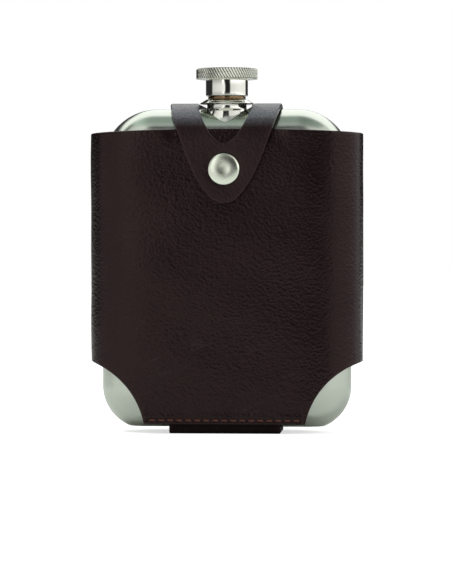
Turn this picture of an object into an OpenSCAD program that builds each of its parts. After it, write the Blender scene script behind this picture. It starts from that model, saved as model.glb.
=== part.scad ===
// Hip flask in a leather sleeve: a stainless flask with a screw cap, held by a strap that snaps shut.
// +Z is up, the front faces -Y, and the origin is the middle of the base on the surface it stands on.

/* [Flask] */
// Width of the steel body
flask_w = 95; // [85:1:110]
// Height of the steel body, without its neck
flask_h = 120.6; // [100:0.1:140]
// Thickness of the steel body
flask_d = 25; // [22:1:28]
// Radius of the two upper corners, seen from the front
shoulder_r = 20.8; // [16:0.1:24]
// Radius of the two lower corners, seen from the front
foot_r = 16.5; // [14:0.1:20]
// Thickness of the steel sheet
steel_t = 0.8; // [0.5:0.1:1.2]

/* [Neck] */
// Diameter of the flange under the cap
neck_base_d = 20.4; // [18:0.2:21]
// Diameter of the waist below the flange
neck_waist_d = 15; // [14:0.2:18]
// Outer diameter of the neck tube, without its thread
neck_tube_d = 12; // [11:0.5:12.5]
// Bore of the neck tube
neck_bore_d = 9.8; // [8:0.2:10]
// Rise of the thread for one turn
thread_pitch = 2; // [1.6:0.1:2.4]

/* [Cap] */
// Diameter of the knurled knob
knob_d = 23.4; // [20:0.2:26]
// Height of the knurled knob
knob_h = 3.9; // [3:0.1:5]
// Outer diameter of the polished barrel
barrel_d = 16; // [15.6:0.1:17]
// Number of knurl ridges around the knob
knurl_count = 66; // [40:1:80]

/* [Leather sleeve] */
// Width of the sleeve over everything
sleeve_w = 103.8; // [100:0.1:118]
// Thickness of the leather
leather_t = 2; // [1.6:0.1:2.2]
// Height of the top edge above the surface, in the middle
sleeve_top_z = 115; // [100:0.5:116]
// Height of the bottom edge above the surface
sleeve_bottom_z = 3.6; // [3:0.1:6]
// Radius of the cut-away bottom corners
corner_cut_r = 30; // [24:0.5:34]

/* [Strap] */
// Width of the strap
strap_w = 42; // [36:0.5:44]
// Height of the rounded tip of the tongue
tongue_tip_z = 86.8; // [82:0.1:92]
// Largest opening in the strap for the neck
neck_hole_d = 21.6; // [21:0.1:23]

/* [Snap] */
// Diameter of the snap's cap
snap_d = 12; // [10:0.5:15]
// Height of the snap's centre
snap_z = 99.7; // [96:0.1:104]

/* [Stitching] */
// Length of the row of stitches along the bottom edge
stitch_row_w = 54.4; // [40:0.1:56]
// Distance from one stitch to the next
stitch_pitch = 3.4; // [2.5:0.1:4]
// Thickness of the thread
thread_t = 0.8; // [0.5:0.1:1]

/* [Hidden] */
$fn = 96;
mesh_fn = 32;
slack = 0.2;
big = 400;
steel = [0.78, 0.79, 0.77];
chrome = [0.86, 0.87, 0.85];
leather = [0.17, 0.12, 0.12];
leather_dark = [0.12, 0.09, 0.09];
thread_red = [0.42, 0.16, 0.11];

// Flask: a slab with a full round all along its edge, cut flat underneath.
edge_r = flask_d / 2;
foot_cut = 1.2;
base_t = leather_t + 0.2;
flask_z0 = base_t + 0.1;
flask_top = flask_z0 + flask_h;
round_z = flask_top - edge_r;

// Neck, from the flask up: a skirt spreading onto the flask's round top, a waist and a flange.
neck_r = neck_tube_d / 2;
base_r = neck_base_d / 2;
base_top = flask_top + 3.7;
base_top_r = 7.7;
flange_z0 = base_top - 1.7;
flange_edge = 0.2;
waist_r = neck_waist_d / 2;
waist_z0 = flask_top + 0.2;
skirt_r = 10.1;
skirt_z = round_z + sqrt(edge_r * edge_r - skirt_r * skirt_r);
skirt_slope = (skirt_r - waist_r) / (waist_z0 - skirt_z);
skirt_low = flask_top - 8;
washer_t = 1.2;
washer_r = 7.5;
lip_z = base_top + 7;
thread_low = base_top + 2.5;
thread_turns = 2;
thread_depth = 0.65;
thread_root = 0.9;
thread_crest = 0.4;

// Cap, with its barrel a hair above the washer.
barrel_z0 = base_top + washer_t + 0.15;
barrel_r = barrel_d / 2;
barrel_wall = 0.8;
knob_r = knob_d / 2;
knob_z0 = lip_z + 0.8;
knob_edge = 0.9;
knurl_depth = 0.4;
knurl_twist = 8.5;
spigot_r = barrel_r - barrel_wall;
spigot_h = 1.8;
liner_r = 6.78;
liner_t = 1;
liner_z0 = lip_z + 0.05;
insert_bore = liner_r + 0.07;

// Sleeve: a tube of leather around the flask.
sleeve_in = edge_r + 0.3;
sleeve_out = sleeve_in + leather_t;
sleeve_corner_r = 12.5;
edge_arc_r = 1000;
cut_x = sleeve_w / 2 + 8.1;
cut_z = -2;

// Strap: up the back, over the flask's round top and down the front.
strap_in = sleeve_out + slack;
strap_out = strap_in + leather_t;
over_r = edge_r + slack;
corner_span = norm([strap_in, sleeve_top_z - round_z]);
bend_a = atan2(sleeve_top_z - round_z, strap_in) + acos(over_r / corner_span);
slope_l = sqrt(corner_span * corner_span - over_r * over_r);
split_gap = 0.1;
strap_back_z0 = 9;
tongue_k = pow(strap_w / 2, 2) / (round_z + over_r + leather_t - tongue_tip_z);
hole_tip_z = tongue_tip_z + 22.8;
hole_k = 7.4;
outline_steps = 24;
arc_steps = 20;

// Base strap: a cradle under the flask, sewn inside both bottom edges.
base_end_w = 57;
base_end_z = 7;
base_in = sleeve_in - leather_t;
base_bend_r = 1.5;

// Snap, from the sleeve outwards.
socket_r = 5;
socket_bore = 2.35;
stud_r = 1.95;
stud_neck_r = 1.5;
spring_in = 2.12;
eyelet_r = 1.2;
snap_flange_t = 0.45;

// ---------- shared shapes ----------

// A disc with a fully rounded rim, lying in the XZ plane.
module rounded_disc(outer_r, rim_r) {
    rotate([90, 0, 0])
        rotate_extrude($fn = mesh_fn * 2)
            intersection() {
                union() {
                    translate([0, -rim_r])
                        square([outer_r - rim_r, 2 * rim_r]);
                    translate([outer_r - rim_r, 0])
                        circle(rim_r, $fn = mesh_fn);
                }
                translate([0, -rim_r])
                    square([outer_r, 2 * rim_r]);
            }
}

// The flask's outside, or its inside when inset is the sheet's thickness.
module flask_form(inset) {
    low = flask_z0 - foot_cut;
    intersection() {
        hull()
            for (side = [-1, 1]) {
                translate([side * (flask_w / 2 - shoulder_r), 0, flask_top - shoulder_r])
                    rounded_disc(shoulder_r - inset, edge_r - inset);
                translate([side * (flask_w / 2 - foot_r), 0, low + foot_r])
                    rounded_disc(foot_r - inset, edge_r - inset);
            }
        translate([-big / 2, -big / 2, flask_z0 + inset])
            cube(big);
    }
}

module flask_half(side) {
    color(steel)
        intersection() {
            difference() {
                flask_form(0);
                flask_form(steel_t);
                translate([0, 0, flask_top - edge_r])
                    cylinder(h = 2 * edge_r, r = neck_r + 0.02);
            }
            translate([-big / 2, side < 0 ? -big : 0, -big / 2])
                cube(big);
        }
}

// A helical ridge: r_root is where it grows from, r_crest is its free edge.
module helix_ridge(r_root, r_crest, z_start, turns) {
    steps = 32 * turns;
    wide = thread_root / 2;
    narrow = thread_crest / 2;
    points = [
        for (i = [0:steps])
            let (a = 360 * turns * i / steps, z = z_start + thread_pitch * turns * i / steps)
                for (p = [[r_root, -wide], [r_crest, -narrow], [r_crest, narrow], [r_root, wide]])
                    [p[0] * cos(a), p[0] * sin(a), z + p[1]]
    ];
    out = r_crest > r_root;
    sides = [
        for (i = [0:steps - 1])
            for (k = [0:3])
                let (a = 4 * i + k, b = 4 * i + (k + 1) % 4)
                    out ? [a, a + 4, b + 4, b] : [a, b, b + 4, a + 4]
    ];
    last = 4 * steps;
    first_end = out ? [0, 1, 2, 3] : [3, 2, 1, 0];
    last_end = out ? [last + 3, last + 2, last + 1, last] : [last, last + 1, last + 2, last + 3];
    polyhedron(points = points, faces = concat([first_end], sides, [last_end]), convexity = 10);
}

module tube(h, outer, inner) {
    difference() {
        cylinder(h = h, r = outer);
        translate([0, 0, -1])
            cylinder(h = h + 2, r = inner);
    }
}

// Turns a shape drawn along Z so that Z points out of the front of the sleeve.
module from_front(y, z) {
    translate([0, y, z])
        rotate([90, 0, 0])
            children();
}

// A parabola with its tip at the bottom, k wide for each millimetre up, seen from the front.
module parabola_prism(tip_z, top_z, k, limit) {
    half = [
        for (i = [0:outline_steps])
            let (w = limit * i / outline_steps, z = min(top_z, tip_z + w * w / k))
                [w, z]
    ];
    mirrored = [for (i = [outline_steps:-1:1]) [-half[i][0], half[i][1]]];
    crown = [[limit, top_z], [-limit, top_z]];
    from_front(0, 0)
        linear_extrude(height = big / 4)
            polygon(concat(half, crown, mirrored));
}

// Points along an arc around a centre, from angle a0 to angle a1.
function arc_points(centre, r, a0, a1, steps) = [
    for (i = [0:steps])
        let (a = a0 + (a1 - a0) * i / steps)
            [centre[0] + r * cos(a), centre[1] + r * sin(a)]
];

// The strap's section behind the split, with Y across and Z up: over the flask's round top, down the
// slope to the sleeve's edge, and down the back.
module strap_back_section() {
    top = [0, round_z];
    edge = [strap_in, sleeve_top_z];
    outer = concat(
        arc_points(top, over_r + leather_t, 180 - bend_a, bend_a, arc_steps),
        arc_points(edge, leather_t, bend_a, 0, arc_steps / 4)
    );
    inner = arc_points(top, over_r, bend_a, 180 - bend_a, arc_steps);
    polygon(concat(outer, [[strap_out, strap_back_z0], [strap_in, strap_back_z0], edge], inner));
}

// The strap's section in front of the split, drawn on the same side as the back's.
module strap_tongue_section() {
    edge = [strap_in, sleeve_top_z];
    reach = slope_l - split_gap;
    up = [-sin(bend_a), cos(bend_a)];
    out = [cos(bend_a), sin(bend_a)];
    outer = arc_points(edge, leather_t, bend_a, 0, arc_steps / 4);
    polygon(concat(
        [edge + reach * up, edge + reach * up + leather_t * out], outer,
        [[strap_out, tongue_tip_z - 1], [strap_in, tongue_tip_z - 1], edge]
    ));
}

// Stands a section drawn in Y and Z up across the strap's width.
module across(width) {
    rotate([90, 0, 90])
        translate([0, 0, -width / 2])
            linear_extrude(height = width)
                children();
}

module neck_hole() {
    translate([0, 0, tongue_tip_z])
        cylinder(h = big, d = neck_hole_d);
    parabola_prism(hole_tip_z, flask_top + 20, hole_k, neck_hole_d / 2 - 0.9);
}

module stitch_row(count, y, z) {
    for (i = [0:count - 1])
        translate([(i - (count - 1) / 2) * stitch_pitch, y, z])
            rotate([0, 90, 0])
                cylinder(h = stitch_pitch * 0.7, d = thread_t, center = true, $fn = 24);
}

// ---------- flask and neck ----------

module flask_front_shell() {
    flask_half(-1);
}

module flask_rear_shell() {
    flask_half(1);
}

module neck_base() {
    color(chrome)
        difference() {
            rotate_extrude()
                polygon([
                    [neck_r + 0.02, skirt_low], [waist_r + skirt_slope * (waist_z0 - skirt_low), skirt_low],
                    [waist_r, waist_z0], [waist_r, flange_z0], [base_r, flange_z0],
                    [base_r, flange_z0 + flange_edge], [base_top_r, base_top], [neck_r + 0.02, base_top]
                ]);
            translate([-big / 2, 0, round_z])
                rotate([0, 90, 0])
                    cylinder(h = big, r = edge_r + 0.02);
        }
}

module neck_tube() {
    color(steel)
        translate([0, 0, flask_top - 3])
            tube(lip_z - flask_top + 3, neck_r, neck_bore_d / 2);
}

module neck_thread() {
    color(steel)
        helix_ridge(neck_r - 0.02, neck_r + thread_depth, thread_low, thread_turns);
}

module neck_washer() {
    color([0.55, 0.33, 0.2])
        translate([0, 0, base_top])
            tube(washer_t, washer_r, neck_r + 0.1);
}

// ---------- cap ----------

module cap_knob() {
    teeth = [
        for (i = [0:2 * knurl_count - 1])
            let (r = i % 2 == 0 ? knob_r : knob_r - knurl_depth, a = 180 * i / knurl_count)
                [r * cos(a), r * sin(a)]
    ];
    crown_r = knob_r - knurl_depth - 0.1;
    color(chrome)
        difference() {
            union() {
                translate([0, 0, knob_z0])
                    linear_extrude(height = knob_h - knob_edge, twist = knurl_twist, slices = 4)
                        polygon(teeth);
                translate([0, 0, knob_z0 + knob_h - knob_edge])
                    cylinder(h = knob_edge, r1 = crown_r, r2 = crown_r - knob_edge);
            }
            translate([0, 0, knob_z0 - 1])
                cylinder(h = spigot_h + 1, r = spigot_r + 0.02);
        }
}

module cap_barrel() {
    color(chrome)
        difference() {
            union() {
                translate([0, 0, barrel_z0])
                    cylinder(h = knob_z0 - barrel_z0, r = barrel_r);
                translate([0, 0, knob_z0])
                    cylinder(h = spigot_h, r = spigot_r);
            }
            translate([0, 0, barrel_z0 - 1])
                cylinder(h = knob_z0 + spigot_h - barrel_wall - barrel_z0 + 1, r = spigot_r - 0.05);
        }
}

module cap_insert() {
    low = barrel_z0 + 0.2;
    high = liner_z0 + liner_t + 0.1;
    color([0.9, 0.9, 0.88])
        translate([0, 0, low])
            difference() {
                cylinder(h = high - low + 0.3, r = spigot_r - 0.07);
                translate([0, 0, -1])
                    cylinder(h = high - low + 1, r = insert_bore);
            }
}

// Half a turn round from the neck's thread, so that it runs in the middle of the gap between its turns.
module cap_thread() {
    color([0.9, 0.9, 0.88])
        rotate([0, 0, 180])
            helix_ridge(insert_bore + 0.02, neck_r + thread_depth / 2, thread_low, thread_turns - 0.5);
}

module cap_liner() {
    color([0.25, 0.25, 0.25])
        translate([0, 0, liner_z0])
            cylinder(h = liner_t, r = liner_r);
}

// ---------- leather ----------

module sleeve_outline(half_w, half_d, corner_r) {
    square([2 * half_w, 2 * (half_d - corner_r)], center = true);
    square([2 * (half_w - corner_r), 2 * half_d], center = true);
    for (sx = [-1, 1])
        for (sy = [-1, 1])
            translate([sx * (half_w - corner_r), sy * (half_d - corner_r)])
                circle(corner_r);
}

module sleeve_wrap() {
    tall = sleeve_top_z - sleeve_bottom_z;
    color(leather)
        difference() {
            intersection() {
                translate([0, 0, sleeve_bottom_z])
                    linear_extrude(height = tall)
                        difference() {
                            sleeve_outline(sleeve_w / 2, sleeve_out, sleeve_corner_r);
                            sleeve_outline(sleeve_w / 2 - leather_t, sleeve_in, sleeve_corner_r - leather_t);
                        }
                translate([0, big / 2, sleeve_top_z - edge_arc_r])
                    rotate([90, 0, 0])
                        cylinder(h = big, r = edge_arc_r, $fn = 360);
            }
            for (side = [-1, 1])
                translate([side * cut_x, big / 2, cut_z])
                    rotate([90, 0, 0])
                        cylinder(h = big, r = corner_cut_r);
            translate([-slack, 0, -1])
                cube([2 * slack, big, big]);
            from_front(-sleeve_in, snap_z)
                cylinder(h = leather_t + 1, r = eyelet_r + 0.02);
            from_front(1 - sleeve_in, snap_z)
                cylinder(h = 1 + snap_flange_t, r = socket_r - 1);
            from_front(snap_flange_t - sleeve_out, snap_z)
                cylinder(h = 1 + snap_flange_t, r = socket_r - 0.5);
        }
}

module strap_tongue() {
    color(leather)
        difference() {
            intersection() {
                mirror([0, 1, 0])
                    across(strap_w)
                        strap_tongue_section();
                parabola_prism(tongue_tip_z, flask_top + 20, tongue_k, strap_w / 2);
            }
            neck_hole();
            from_front(1 - strap_in, snap_z)
                cylinder(h = leather_t + 2, r = socket_r + 0.02);
        }
}

module strap_back() {
    color(leather)
        difference() {
            across(strap_w)
                strap_back_section();
            neck_hole();
        }
}

module base_strap() {
    color(leather_dark)
        union() {
            across(strap_w)
                difference() {
                    union() {
                        translate([-sleeve_in + base_bend_r, 0])
                            square([2 * (sleeve_in - base_bend_r), base_t]);
                        for (side = [-1, 1]) {
                            translate([side * (sleeve_in - base_bend_r), base_bend_r])
                                circle(base_bend_r);
                            translate([side * (sleeve_in - leather_t / 2) - leather_t / 2, base_bend_r])
                                square([leather_t, base_end_z - base_bend_r]);
                        }
                    }
                    translate([-base_in, base_t])
                        square([2 * base_in, base_end_z]);
                }
            for (side = [-1, 1])
                translate([-base_end_w / 2, side * (sleeve_in - leather_t / 2) - leather_t / 2, sleeve_bottom_z])
                    cube([base_end_w, leather_t, base_end_z - sleeve_bottom_z]);
        }
}

// ---------- stitching ----------

module front_stitches() {
    color(thread_red)
        stitch_row(floor(stitch_row_w / stitch_pitch) + 1, -sleeve_out, sleeve_bottom_z + 1.5);
}

module rear_stitches() {
    color(thread_red)
        stitch_row(floor(stitch_row_w / stitch_pitch) + 1, sleeve_out, sleeve_bottom_z + 1.5);
}

module strap_stitches() {
    inset = 2.6;
    low = strap_back_z0 + inset;
    rows = floor((sleeve_top_z - 6 - low) / stitch_pitch);
    color(thread_red) {
        for (side = [-1, 1])
            for (i = [0:rows])
                translate([side * (strap_w / 2 - inset), strap_out, low + stitch_pitch * (i + 0.5)])
                    cylinder(h = stitch_pitch * 0.7, d = thread_t, center = true, $fn = 24);
        stitch_row(floor((strap_w - 2 * inset) / stitch_pitch), strap_out, low);
    }
}

// ---------- snap ----------

module snap_cap() {
    rim_h = 0.5;
    dome_h = 0.9;
    dome_r = (pow(snap_d / 2 - 0.6, 2) + dome_h * dome_h) / (2 * dome_h);
    color(chrome)
        from_front(-strap_out, snap_z) {
            cylinder(h = rim_h, d = snap_d);
            intersection() {
                translate([0, 0, rim_h + dome_h - dome_r])
                    sphere(dome_r);
                cylinder(h = rim_h + dome_h, r = snap_d / 2 - 0.6);
            }
        }
}

module snap_socket() {
    color(steel)
        from_front(-strap_in, snap_z)
            difference() {
                cylinder(h = leather_t, r = socket_r);
                translate([0, 0, -1])
                    cylinder(h = leather_t + 0.7, r = socket_bore);
                translate([0, 0, 0.5])
                    cylinder(h = 0.6, r = socket_bore + 0.5);
            }
}

module snap_spring() {
    color(steel)
        from_front(-strap_in - 0.55, snap_z)
            difference() {
                tube(0.5, socket_bore + 0.45, spring_in);
                translate([-0.6, 0, -1])
                    cube([1.2, socket_r, 3]);
            }
}

module snap_stud() {
    color(steel)
        from_front(snap_flange_t - sleeve_out, snap_z)
            difference() {
                union() {
                    cylinder(h = snap_flange_t, r = socket_r - 0.52);
                    cylinder(h = snap_flange_t + slack + 0.9, r = stud_neck_r);
                    translate([0, 0, snap_flange_t + slack + 0.6])
                        cylinder(h = 0.9, r = stud_r);
                }
                translate([0, 0, -1])
                    cylinder(h = 1 + snap_flange_t + slack + 0.9, r = eyelet_r);
            }
}

module snap_eyelet() {
    color(steel)
        from_front(-sleeve_in, snap_z)
            difference() {
                union() {
                    cylinder(h = snap_flange_t, r = socket_r - 1.02);
                    cylinder(h = leather_t + slack + 0.7, r = eyelet_r - 0.02);
                }
                translate([0, 0, -1])
                    cylinder(h = leather_t + 2, r = 0.6);
            }
}

flask_front_shell();
flask_rear_shell();
neck_base();
neck_tube();
neck_thread();
neck_washer();
cap_knob();
cap_barrel();
cap_insert();
cap_thread();
cap_liner();
sleeve_wrap();
strap_tongue();
strap_back();
base_strap();
front_stitches();
rear_stitches();
strap_stitches();
snap_cap();
snap_socket();
snap_spring();
snap_stud();
snap_eyelet();
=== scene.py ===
"""A hip flask in a leather sleeve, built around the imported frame.

Lengths are in millimetres until a mesh is made.
"""

import math

import bmesh
import bpy
import numpy as np
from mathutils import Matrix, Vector


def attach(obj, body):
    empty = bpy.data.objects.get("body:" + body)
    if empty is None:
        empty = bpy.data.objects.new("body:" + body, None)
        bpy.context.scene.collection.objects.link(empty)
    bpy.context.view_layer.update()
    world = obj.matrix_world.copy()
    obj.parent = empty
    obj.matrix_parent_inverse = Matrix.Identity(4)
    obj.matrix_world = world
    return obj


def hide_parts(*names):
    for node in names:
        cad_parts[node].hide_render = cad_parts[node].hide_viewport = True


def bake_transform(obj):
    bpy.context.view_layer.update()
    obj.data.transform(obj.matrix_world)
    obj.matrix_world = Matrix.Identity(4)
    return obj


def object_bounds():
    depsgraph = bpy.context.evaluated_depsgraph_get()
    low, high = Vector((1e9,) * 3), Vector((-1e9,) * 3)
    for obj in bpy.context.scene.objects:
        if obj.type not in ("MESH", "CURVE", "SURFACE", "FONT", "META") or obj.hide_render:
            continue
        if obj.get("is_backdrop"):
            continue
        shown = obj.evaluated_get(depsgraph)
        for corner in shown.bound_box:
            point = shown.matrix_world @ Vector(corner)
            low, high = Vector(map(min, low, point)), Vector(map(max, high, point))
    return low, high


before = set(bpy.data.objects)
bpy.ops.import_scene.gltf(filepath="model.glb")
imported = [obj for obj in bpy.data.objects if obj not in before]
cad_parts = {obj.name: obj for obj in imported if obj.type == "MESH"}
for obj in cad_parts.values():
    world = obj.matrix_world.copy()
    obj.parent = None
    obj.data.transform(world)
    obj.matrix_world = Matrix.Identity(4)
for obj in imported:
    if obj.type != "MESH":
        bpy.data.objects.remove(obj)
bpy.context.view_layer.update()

MM = 0.001
scene = bpy.context.scene
scene.view_settings.view_transform = "Standard"

# ---------- sizes: as in the CAD source, unless a comment says otherwise ----------
FLASK_HALF_W = 47.5
FLASK_TOP = 122.9
FLASK_LOW = 1.1
FLASK_FLOOR = 2.3  # the foot is flattened here
EDGE_R = 12.5
SHOULDER_R = 20.8
FOOT_R = 16.5
STEEL_T = 0.8
ROUND_Z = FLASK_TOP - EDGE_R
NECK_R = 6.02
NECK_HOLE_R = 5.9  # the hole in the steel under the neck, here only
NECK_BASE_TOP = 126.6
FLANGE_R = 10.2
WAIST_R = 7.5
SKIRT_R = 10.1
WASHER = (6.1, 7.1, 126.6, 127.8)  # inner and outer radius, bottom and top: slimmer than the CAD ring
BARREL_R = 8.0
BARREL_Z0 = 127.95
KNOB_R = 11.7
KNOB_Z0 = 134.4
KNOB_H = 3.9
RIDGES = 66
RIDGE_DEPTH = 0.4
RIDGE_TWIST = math.radians(8.5)  # for each RIDGE_RISE of height
RIDGE_RISE = 3.0
SLEEVE_HALF_W = 51.9
SLEEVE_HALF_D = 14.8
SLEEVE_P = 7.0  # powers of the superellipse that this sleeve's section follows (the CAD rounds a rectangle)
SLEEVE_Q = 2.2
SLEEVE_T = 2.0
SLEEVE_BOW = 2000.0  # the top edge drops by x squared over this, here only
JOINT_HALF = 0.2  # half the width of the butt joint behind
SLEEVE_Z0 = 3.6
SLEEVE_Z1 = 115.0
CUT_R = 30.0  # the bottom corners are cut away on this radius, round CUT_X and CUT_Z
CUT_X = 60.0
CUT_Z = -2.0
CUT_FOOT_X = 31.6  # about where the cuts reach the bottom edge
STRAP_IN = 15.0
STRAP_T = 2.0
STRAP_HALF_W = 21.0
STRAP_OVER_R = 12.7
ARCH_P = 2.3  # power of the strap's arch over the top, here only
TIP_Z = 86.8
TONGUE_K = 21.0**2 / (ROUND_Z + STRAP_OVER_R + STRAP_T - TIP_Z)
HOLE_R = 10.8
HOLE_TIP_Z = 109.6
HOLE_K = 7.4
HOLE_LIMIT = 9.9  # the opening's half width where it runs down the front
STRAP_BACK_Z0 = 9.0
SNAP_Z = 99.7
STITCH_PITCH = 3.4
BOTTOM_STITCH_RISE = 1.5  # the bottom rows' height above the sleeve's edge
STRAP_STITCH_X = 18.4
STRAP_STITCH_Z = 11.6

# ---------- camera ----------
CAM_AZIMUTH = math.radians(4.0)
CAM_DISTANCE = 1.040
CAM_HEIGHT = 0.0701
CAM_PITCH = math.radians(0.925)
FOCAL_PIXELS = 2726.0
FRAME_PIXELS = 584.0
SENSOR = 36.0
CAM_YAW = 0.9 / FOCAL_PIXELS

camera = bpy.data.cameras.new("camera")
camera.sensor_width = SENSOR
camera.lens = FOCAL_PIXELS / FRAME_PIXELS * SENSOR
camera.clip_start = 0.01
camera.clip_end = 50.0
cam_object = bpy.data.objects.new("camera", camera)
scene.collection.objects.link(cam_object)
cam_object.location = (
    CAM_DISTANCE * math.sin(CAM_AZIMUTH),
    -CAM_DISTANCE * math.cos(CAM_AZIMUTH),
    CAM_HEIGHT,
)
cam_object.rotation_euler = (math.pi / 2 - CAM_PITCH, 0.0, CAM_AZIMUTH + CAM_YAW)
scene.camera = cam_object


# ---------- node helpers ----------
class Graph:
    """A node tree with short ways to add nodes."""

    def __init__(self, tree):
        self.tree = tree
        tree.nodes.clear()

    def add(self, kind, inputs=None, **props):
        node = self.tree.nodes.new(kind)
        for key, value in props.items():
            setattr(node, key, value)
        for key, value in (inputs or {}).items():
            self.put(node.inputs[key], value)
        return node

    def put(self, socket, value):
        if isinstance(value, bpy.types.NodeSocket):
            self.tree.links.new(value, socket)
        else:
            socket.default_value = value

    def math(self, operation, a, b=0.0, c=0.0, clamp=False):
        node = self.add("ShaderNodeMath", operation=operation, use_clamp=clamp)
        for socket, value in zip(node.inputs, (a, b, c)):
            self.put(socket, value)
        return node.outputs[0]

    def ramp(self, fac, stops, interpolation="LINEAR"):
        node = self.add("ShaderNodeValToRGB", {"Fac": fac})
        ramp = node.color_ramp
        ramp.interpolation = interpolation
        while len(ramp.elements) < len(stops):
            ramp.elements.new(0.5)
        for element, (position, colour) in zip(ramp.elements, stops):
            element.position = position
            if not hasattr(colour, "__len__"):
                colour = (colour, colour, colour)
            element.color = (*colour, 1.0)
        return node.outputs["Color"]

    def mix(self, fac, a, b, blend="MIX"):
        node = self.add("ShaderNodeMix", data_type="RGBA", blend_type=blend)
        self.put(node.inputs[0], fac)
        for socket, value in ((node.inputs[6], a), (node.inputs[7], b)):
            if not isinstance(value, bpy.types.NodeSocket):
                value = (*value, 1.0)
            self.put(socket, value)
        return node.outputs[2]

    def noise(self, vector, scale, detail=3.0, rough=0.5, distortion=0.0, kind="FBM"):
        inputs = {"Vector": vector, "Scale": scale, "Detail": detail}
        inputs.update({"Roughness": rough, "Distortion": distortion})
        return self.add("ShaderNodeTexNoise", inputs, noise_type=kind).outputs["Fac"]

    def scaled(self, vector, scale, rotation=(0, 0, 0)):
        node = self.add("ShaderNodeMapping", {"Vector": vector, "Rotation": rotation, "Scale": scale})
        return node.outputs["Vector"]

    def attribute(self, name, vector=False):
        node = self.add("ShaderNodeAttribute", attribute_name=name)
        return node.outputs["Vector" if vector else "Fac"]

    def place(self, rest):
        """Where a point is on the object, in millimetres: its rest attribute, or its place in the mesh."""
        if rest:
            return self.attribute("rest", vector=True)
        return self.scaled(self.add("ShaderNodeTexCoord").outputs["Object"], (1000.0,) * 3)


def material(name, build, rest=True):
    mat = bpy.data.materials.new(name)
    mat.use_nodes = True
    graph = Graph(mat.node_tree)
    shader = graph.add("ShaderNodeBsdfPrincipled")
    out = graph.add("ShaderNodeOutputMaterial")
    graph.tree.links.new(shader.outputs[0], out.inputs["Surface"])
    build(graph, shader, graph.place(rest))
    return mat


def bump(graph, height, strength, distance, before=None):
    inputs = {"Height": height, "Strength": strength, "Distance": distance}
    if before is not None:
        inputs["Normal"] = before
    return graph.add("ShaderNodeBump", inputs).outputs["Normal"]


# ---------- materials ----------
CREASE_SLOPE = math.radians(18.0)
CREASE_STRETCH = (0.011, 0.011, 0.15)  # noise scale in X, Y and Z once turned by CREASE_SLOPE
# Painted highlight: a bluish grey band where the strap folds over the top, placed by height.
FOLD_HIGHLIGHT_SPAN = 150.0  # the height that 1 stands for in FOLD_HIGHLIGHT_BAND
FOLD_HIGHLIGHT_BAND = [(0.770, 0.0), (0.789, 0.35), (0.798, 0.80), (0.810, 1.0), (0.822, 0.85), (0.832, 0.25)]
SPECK_TONE = (0.012, 0.0052, 0.0062)
# colour of the painted highlight along the creases
CREASE_HIGHLIGHT_TONE = (0.036, 0.032, 0.033)
EDGE_TONE = (0.030, 0.015, 0.016)
# colour of the painted highlight over the strap's fold
FOLD_HIGHLIGHT_TONE = (0.135, 0.146, 0.160)
LEATHER_SHEEN = (1.0, 0.68, 0.67, 1.0)
LEATHER_TONE = (0.0046, 0.0023, 0.0025)
STRAP_TONE = (0.0048, 0.0023, 0.0030)
# Painted shade: the base strap under the flask gets the leather tone made darker, as if in shadow.
SHADED_TAB_TONE = tuple(c * 0.35 for c in LEATHER_TONE)
STEEL_TINT = (0.60, 0.64, 0.56)
CHROME_TINT = (0.80, 0.80, 0.73)
KNOB_TINT = (0.82, 0.82, 0.72)
SNAP_TINT = (0.84, 0.88, 0.74)


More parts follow.
